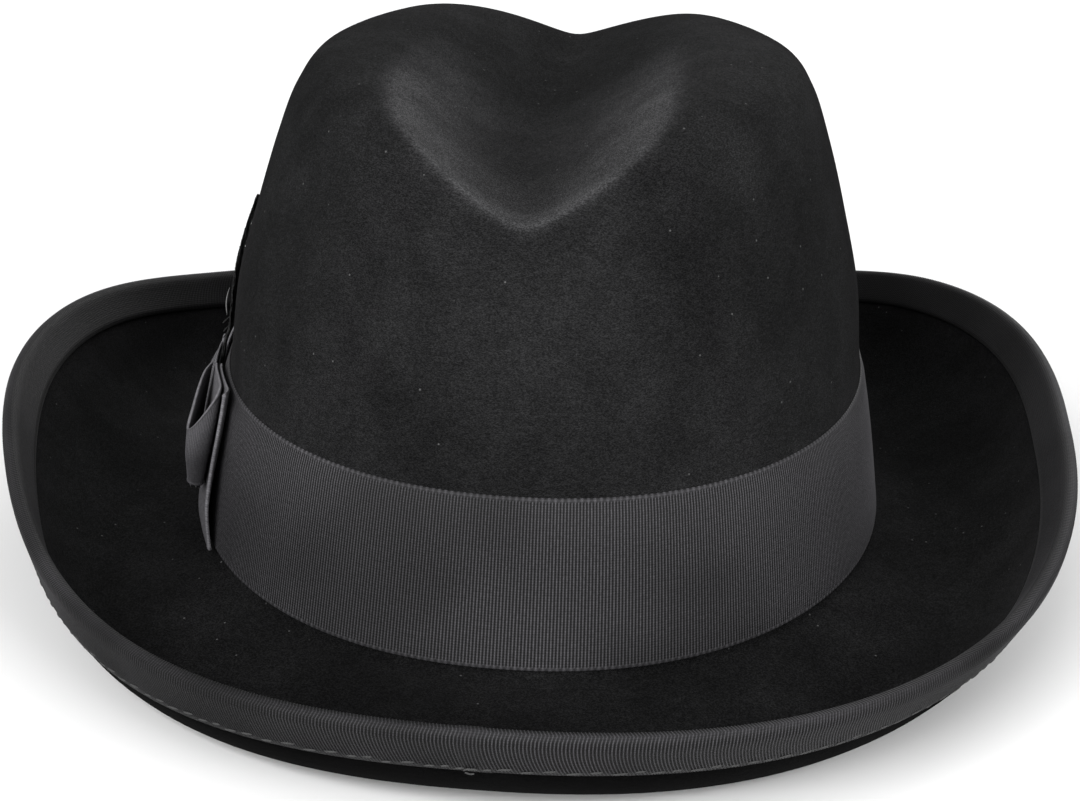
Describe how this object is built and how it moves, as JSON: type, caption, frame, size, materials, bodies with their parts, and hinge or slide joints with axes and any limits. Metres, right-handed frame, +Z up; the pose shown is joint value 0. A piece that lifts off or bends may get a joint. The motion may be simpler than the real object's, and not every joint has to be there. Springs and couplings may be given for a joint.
{
  "type": "homburg hat",
  "caption": "Black felt homburg hat with one lengthwise crown crease, a curled and bound brim, a ribbon band with a flat side bow and a small tucked feather.",
  "frame": {"origin": "on the surface that the hat rests on, under the middle of its bounding box", "axes": "+Z up; the back of the hat, which the picture is taken to show, faces -Y; its left side, with the bow, faces -X"},
  "size_m": [0.2736, 0.3416, 0.1269],
  "materials": {
    "felt": "matte brushed fur felt",
    "band_ribbon": "ribbed grosgrain, low sheen",
    "binding_ribbon": "ribbed grosgrain, low sheen",
    "bow_ribbon": "ribbed grosgrain, low sheen",
    "feather": "soft black feather"
  },
  "bodies": {
    "root": {"felt_body": "felt", "hat_band": "band_ribbon", "brim_binding": "binding_ribbon", "bow_back_loop": "bow_ribbon", "bow_front_loop": "bow_ribbon", "bow_tail": "bow_ribbon", "bow_knot": "bow_ribbon", "feather": "feather"}
  },
  "joints": []
}
